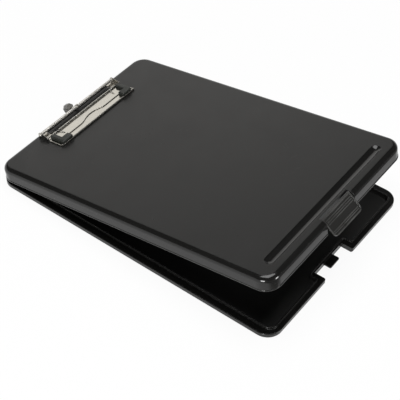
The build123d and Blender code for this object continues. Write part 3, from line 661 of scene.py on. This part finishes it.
# %% The L, rounded in plan
def cap_outline(shape, side):
    """One face in the shape of the L, with round outer corners."""
    plan = [
        (cap_inner, cap_front),
        (cap_outer, cap_front),
        (cap_outer, cap_rear),
        (cap_arm_inner, cap_rear),
        (cap_arm_inner, cap_step),
        (cap_inner, cap_step),
    ]
    corners = [shape.verts.new((side * x, y, cap_bottom)) for x, y in plan]
    shape.faces.new(corners)
    rounding = {"affect": "VERTICES", "segments": 6, "profile": 0.5, "material": -1}
    bmesh.ops.bevel(shape, geom=corners[1:2], offset=cap_corner_round, **rounding)
    ends = [v for v in shape.verts if v.co.y > cap_rear - 0.01 or v.co.x * side < cap_inner + 0.01]
    bmesh.ops.bevel(shape, geom=ends, offset=cap_end_round, **rounding)
    return shape.faces[:]


# %% The cap's body
def rubber_cap(name, side):
    """One cap: side is -1 for the left and 1 for the right."""
    shape = bmesh.new()
    outline = cap_outline(shape, side)
    raised = bmesh.ops.extrude_face_region(shape, geom=outline)["geom"]
    top_verts = [item for item in raised if isinstance(item, bmesh.types.BMVert)]
    bmesh.ops.translate(shape, verts=top_verts, vec=(0, 0, cap_top - cap_bottom))
    upper = [e for e in shape.edges if all(v.co.z > cap_top - 0.01 for v in e.verts)]
    bmesh.ops.bevel(
        shape, geom=upper, offset=cap_top_round, affect="EDGES", segments=6, profile=0.5,
        material=-1,
    )
    for cut in (plate_bead_end, plate_bead_end + 0.1):
        everything = shape.verts[:] + shape.edges[:] + shape.faces[:]
        bmesh.ops.bisect_plane(shape, geom=everything, plane_co=(0, cut, 0), plane_no=(0, 1, 0))
    for vert in shape.verts:
        if vert.co.y < plate_bead_end + 0.05 and vert.co.z < plate_bead_top:
            vert.co.z = plate_bead_top
    node_name = f"grip_corner_{name.split('_')[0]}"
    put_on_lid(name, shape, "jaw", node_name, rubber_black)


rubber_cap("left_rubber_cap", -1)
rubber_cap("right_rubber_cap", 1)

# %% [markdown]
# ## Springs
# Two torsion springs sit round the jaw's pin and press its front edge down. A spring is one round
# wire: a straight leg that lies on the jaw, three turns round the pin, and a leg that rests on
# the board. The CAD wire has six flat sides, which shows in its highlights. Here a ring of edges
# is the wire's section. It is extruded along the first leg, spun about the pin while it climbs,
# which makes the helix, and extruded again along the second leg. When the jaw opens, the front
# leg goes up with it and the rear leg stays, so the wire is given to no single body.

# %% Sizes of a spring
pin_y, pin_z = 152.9, 24.35
wire_radius, wire_sides = 0.35, 12
coil_radius, coil_pitch, coil_turns, coil_start = 1.0, 1.15, 3, 41.6
steps_per_turn = 24
front_reach, front_drop = 8.5, 0.27
rear_reach, rear_drop = 8.0, 1.97
climb = coil_pitch / (2 * pi)


def leg_angle(reach, drop):
    """Where on the coil, from its top, a straight leg leaves it."""
    return atan2(drop, reach) + asin(coil_radius / hypot(reach, drop))


def leg_vector(reach, drop, side, way):
    """The leg, from the coil outwards: way is -1 to the front and 1 to the rear."""
    angle = leg_angle(reach, drop)
    run = sqrt(reach**2 + drop**2 - coil_radius**2)
    sideways = side * way * climb * run / coil_radius
    return Vector((sideways, way * run * cos(angle), -run * sin(angle)))


leg_turns = leg_angle(front_reach, front_drop), leg_angle(rear_reach, rear_drop)
whole_turn = 2 * pi * coil_turns + leg_turns[0] + leg_turns[1]
print("the wire turns", round(whole_turn / (2 * pi), 2), "times round the pin")


# %% Wind a spring
def last_ring(spun):
    """The edges of the ring that an extrusion or spin ended with."""
    return [item for item in spun if isinstance(item, bmesh.types.BMEdge)]


def extrude_ring(shape, ring, vector):
    """Extrudes the ring along the vector and gives the new ring."""
    grown = bmesh.ops.extrude_edge_only(shape, edges=ring)["geom"]
    moved = [item for item in grown if isinstance(item, bmesh.types.BMVert)]
    bmesh.ops.translate(shape, verts=moved, vec=vector)
    return [e for e in last_ring(grown) if all(v in moved for v in e.verts)]


def torsion_spring(name, side):
    """One spring: side is -1 for the left and 1 for the right, which wind as mirror images."""
    shape = bmesh.new()
    start_angle = leg_turns[0]
    front_leg = leg_vector(front_reach, front_drop, side, -1)
    foot_y = pin_y - coil_radius * sin(start_angle)
    foot_z = pin_z + coil_radius * cos(start_angle)
    foot = Vector((side * coil_start, foot_y, foot_z))
    section = bmesh.ops.create_circle(
        shape, cap_ends=False, radius=wire_radius, segments=wire_sides
    )["verts"]
    upright = Matrix.Rotation(pi / 2 - start_angle, 4, "X")
    bmesh.ops.transform(shape, matrix=Matrix.Translation(foot + front_leg) @ upright, verts=section)
    ring = extrude_ring(shape, shape.edges[:], -front_leg)
    steps = steps_per_turn * coil_turns
    spun = bmesh.ops.spin(
        shape, geom=ring, cent=(0, pin_y, pin_z), axis=(-1, 0, 0), angle=whole_turn,
        steps=steps, dvec=(side * climb * whole_turn / steps, 0, 0), use_merge=False,
    )["geom_last"]
    extrude_ring(shape, last_ring(spun), leg_vector(rear_reach, rear_drop, side, 1))
    ends = [e for e in shape.edges if e.is_boundary]
    bmesh.ops.holes_fill(shape, edges=ends)
    node_name = f"clip_spring_{name.split('_')[0]}"
    wire = put_on_lid(name, shape, None, node_name, spring_steel, sharp=50.0)
    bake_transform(wire)


torsion_spring("left_spring_wire", -1)
torsion_spring("right_spring_wire", 1)

# %% [markdown]
# ## The knob
# A small grey knob sits on the end of the hanger's stem. Its grip has eight soft lobes. A circle
# of sixteen points with every other one pulled in is a star, and a vertex bevel with several
# segments turns the star into a wave, which is easier to steer than cutting eight hollows. It is
# then extruded along the stem, and the two rims are rounded.

# %% Sizes and place of the knob
rod_y, rod_z = 163.2, 25.8
stem_fall = radians(26.92)
knob_from, knob_length, knob_radius = 13.15, 6.5, 5.6
lobes, hollow = 8, 0.84
lobe_round, outer_round, inner_round = 0.95, 0.9, 0.35
print("the knob starts", knob_from, "mm along the stem")

# %% Shape the knob
shape = bmesh.new()
star = bmesh.ops.create_circle(
    shape, cap_ends=True, radius=knob_radius * 1.02, segments=2 * lobes
)["verts"]
for vert in star[::2]:
    vert.co *= hollow
bmesh.ops.bevel(
    shape, geom=star, offset=lobe_round, affect="VERTICES", segments=6, profile=0.5, material=-1
)
raised = bmesh.ops.extrude_face_region(shape, geom=shape.faces[:])["geom"]
top_verts = [item for item in raised if isinstance(item, bmesh.types.BMVert)]
bmesh.ops.translate(shape, verts=top_verts, vec=(0, 0, knob_length))
outer_rim = [e for e in shape.edges if all(v.co.z > knob_length - 0.01 for v in e.verts)]
bmesh.ops.bevel(
    shape, geom=outer_rim, offset=outer_round, affect="EDGES", segments=5, profile=0.5, material=-1
)
inner_rim = [e for e in shape.edges if all(v.co.z < 0.01 for v in e.verts)]
bmesh.ops.bevel(
    shape, geom=inner_rim, offset=inner_round, affect="EDGES", segments=3, profile=0.5, material=-1
)
stem_way = Vector((0, cos(stem_fall), -sin(stem_fall)))
along_stem = Matrix.Rotation(-(pi / 2 + stem_fall), 4, "X")
knob_place = Matrix.Translation(Vector((0, rod_y, rod_z)) + stem_way * knob_from) @ along_stem
bmesh.ops.transform(shape, matrix=knob_place, verts=shape.verts)
put_on_lid("lobed_knob", shape, "hanger", "hanger_knob", knob_grey)
